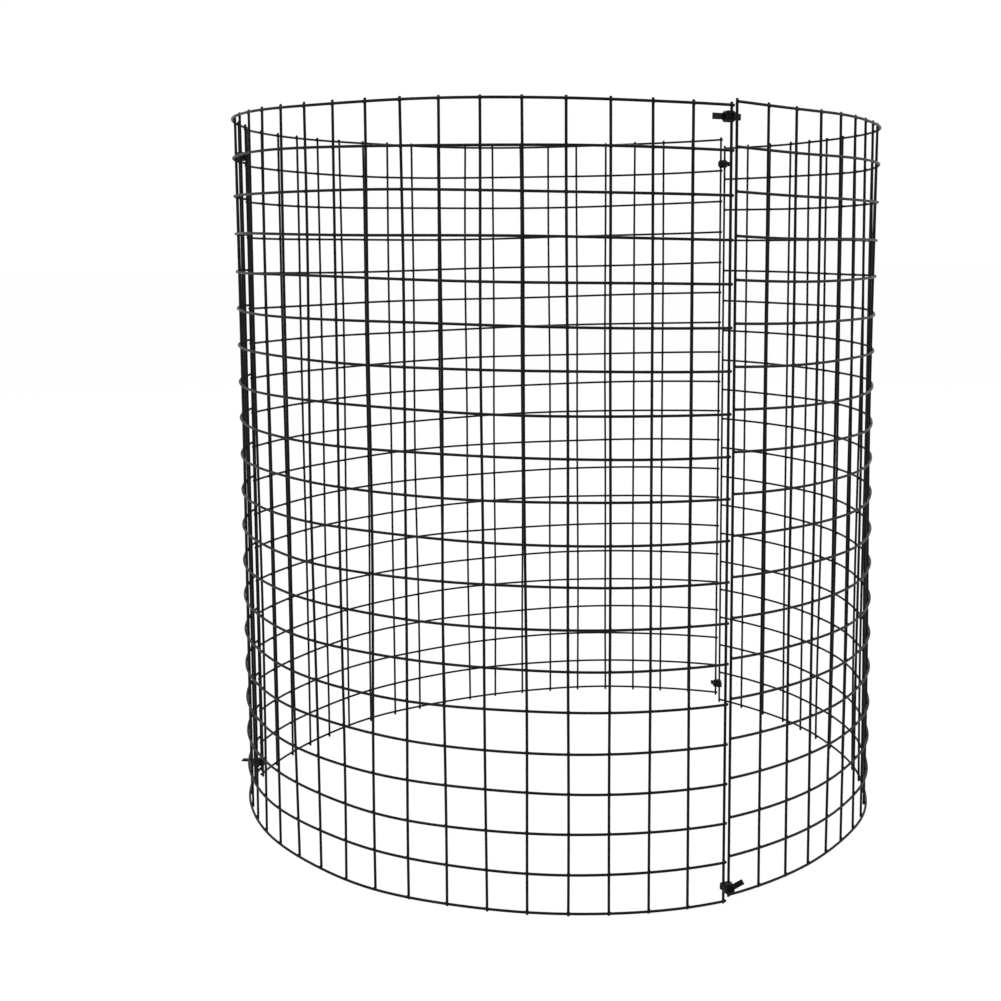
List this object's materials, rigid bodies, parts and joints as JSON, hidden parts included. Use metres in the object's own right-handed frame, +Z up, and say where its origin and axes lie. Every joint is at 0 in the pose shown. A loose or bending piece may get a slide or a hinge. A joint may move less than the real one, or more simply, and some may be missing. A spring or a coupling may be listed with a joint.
{
  "type": "plant protection cage",
  "caption": "Open-ended rounded ring of black square-mesh wire panels, laced edge to edge with cable ties, that stands over a young plant.",
  "frame": {"origin": "on the ground, under the middle of the cage's outline", "axes": "+Z up, along the uprights; -Y to the front; +X to the right"},
  "size_m": [0.472, 0.466, 0.4918],
  "materials": {
    "coated_wire": "black satin powder coat over steel wire",
    "black_nylon": "black moulded nylon with a soft sheen"
  },
  "bodies": {
    "front_panel": {"front_panel_grid": "coated_wire", "front_panel_upright_01": "coated_wire", "front_panel_upright_02": "coated_wire", "front_panel_upright_03": "coated_wire", "front_panel_upright_04": "coated_wire", "front_panel_upright_05": "coated_wire", "front_panel_upright_06": "coated_wire", "front_panel_upright_07": "coated_wire", "front_panel_upright_08": "coated_wire", "front_panel_upright_10": "coated_wire", "front_panel_upright_11": "coated_wire", "front_panel_upright_12": "coated_wire", "front_panel_upright_13": "coated_wire", "front_panel_upright_14": "coated_wire", "front_panel_upright_15": "coated_wire", "front_panel_upright_16": "coated_wire", "front_panel_upright_17": "coated_wire", "front_panel_upright_18": "coated_wire", "tie_front_right_top": "black_nylon", "tie_front_right_bottom": "black_nylon", "tie_left_top": "black_nylon", "tie_left_bottom": "black_nylon"},
    "right_panel": {"right_panel_grid": "coated_wire", "right_panel_upright_01": "coated_wire", "right_panel_upright_02": "coated_wire", "right_panel_upright_03": "coated_wire", "right_panel_upright_04": "coated_wire", "right_panel_upright_05": "coated_wire", "right_panel_upright_06": "coated_wire", "right_panel_upright_07": "coated_wire", "right_panel_upright_08": "coated_wire", "right_panel_upright_10": "coated_wire", "right_panel_upright_11": "coated_wire", "right_panel_upright_12": "coated_wire", "right_panel_upright_13": "coated_wire", "right_panel_upright_14": "coated_wire", "right_panel_upright_15": "coated_wire", "right_panel_upright_16": "coated_wire", "right_panel_upright_17": "coated_wire", "right_panel_upright_18": "coated_wire", "tie_rear_right_top": "black_nylon", "tie_rear_right_bottom": "black_nylon"},
    "back_panel": {"back_panel_grid": "coated_wire", "back_panel_upright_01": "coated_wire", "back_panel_upright_02": "coated_wire", "back_panel_upright_03": "coated_wire", "back_panel_upright_04": "coated_wire", "back_panel_upright_05": "coated_wire", "back_panel_upright_06": "coated_wire", "back_panel_upright_07": "coated_wire", "back_panel_upright_08": "coated_wire", "back_panel_upright_10": "coated_wire", "back_panel_upright_11": "coated_wire", "back_panel_upright_12": "coated_wire", "back_panel_upright_13": "coated_wire", "back_panel_upright_14": "coated_wire", "back_panel_upright_15": "coated_wire", "back_panel_upright_16": "coated_wire", "back_panel_upright_17": "coated_wire", "back_panel_upright_18": "coated_wire"}
  },
  "joints": [
    {"name": "front_right_seam", "type": "hinge", "parent": "front_panel", "child": "right_panel", "pos_m": [0.10596, -0.20299, 0.2463], "axis": [0.0055, -0.0106, -0.9999], "range_deg": [0, 120]},
    {"name": "rear_right_seam", "type": "hinge", "parent": "right_panel", "child": "back_panel", "pos_m": [0.14815, 0.20572, 0.2484], "axis": [0.0077, 0.0107, -0.9999], "range_deg": [0, 120]}
  ]
}
